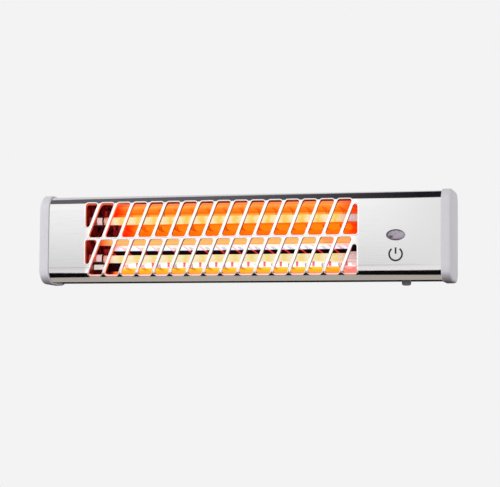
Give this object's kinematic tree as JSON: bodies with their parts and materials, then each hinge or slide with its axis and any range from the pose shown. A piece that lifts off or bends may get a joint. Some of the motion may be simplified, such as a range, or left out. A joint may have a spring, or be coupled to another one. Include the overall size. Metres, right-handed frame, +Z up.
{
  "type": "electric bar heater",
  "caption": "Wall-mounted bar heater: slotted steel cover over two quartz tubes, end caps, pull switch and a tilting wall bracket.",
  "frame": {"origin": "on the wall plane, midway between the bracket's two wall screws", "axes": "+X along the heater to its switch end, +Y into the wall, +Z up; the slotted face looks along -Y"},
  "size_m": [0.5454, 0.1063, 0.1202],
  "materials": {
    "stainless": "brushed stainless sheet with bright bends",
    "shell_paint": "dark grey paint on steel sheet",
    "cap_plastic": "light grey moulded plastic, fine matte grain",
    "zinc": "zinc-plated steel",
    "reflector_metal": "polished aluminium reflector",
    "quartz": "quartz glass lit from within",
    "heating_wire": "glowing resistance wire",
    "ceramic": "unglazed white ceramic",
    "brass": "brass terminals",
    "black_plastic": "black moulded plastic",
    "lens_plastic": "clear grey moulded lens",
    "white_plastic": "white insulation and nylon",
    "earth_green": "green and yellow earth insulation"
  },
  "bodies": {
    "bracket": {"wall_bracket": "zinc", "pivot_bolts": "zinc", "pivot_nuts": "zinc", "pivot_washers": "black_plastic"},
    "heater": {"front_cover": "stainless", "back_shell": "shell_paint", "left_end_cap": "cap_plastic", "right_end_cap": "cap_plastic", "left_bulkhead": "zinc", "right_bulkhead": "zinc", "reflector": "reflector_metal", "upper_quartz_tube": "quartz", "lower_quartz_tube": "quartz", "upper_heating_coil": "heating_wire", "lower_heating_coil": "heating_wire", "upper_left_ceramic": "ceramic", "upper_right_ceramic": "ceramic", "lower_left_ceramic": "ceramic", "lower_right_ceramic": "ceramic", "tube_terminals": "brass", "link_strap": "brass", "upper_lead": "white_plastic", "lower_lead": "white_plastic", "return_lead": "white_plastic", "feed_lead": "white_plastic", "lamp_leads": "white_plastic", "thermal_cutout": "black_plastic", "terminal_block": "white_plastic", "earth_stud": "zinc", "earth_lead": "earth_green", "indicator_lens": "lens_plastic", "indicator_lamp": "quartz", "lamp_holder": "black_plastic", "switch_housing": "black_plastic", "switch_lid": "black_plastic", "cord_bush": "black_plastic", "return_spring": "zinc", "cord_gland": "black_plastic", "gland_nut": "black_plastic", "cord_clamp": "white_plastic", "left_tilt_lug": "zinc", "right_tilt_lug": "zinc", "lug_rivets": "zinc", "cover_screws": "zinc", "cap_screws": "zinc", "bulkhead_screws": "zinc", "clamp_screws": "zinc"},
    "pull_rod": {"pull_rod": "white_plastic"}
  },
  "joints": [
    {"name": "heater_tilt", "type": "hinge", "parent": "bracket", "child": "heater", "pos_m": [0, -0.02, 0], "axis": [1, 0, 0], "range_deg": [0, 35]},
    {"name": "cord_pull", "type": "slide", "parent": "heater", "child": "pull_rod", "axis": [0, 0, -1], "range_m": [0, 0.008], "stiffness_N_per_m": 500, "springref_m": -0.004, "deforming": ["return_spring"]}
  ]
}
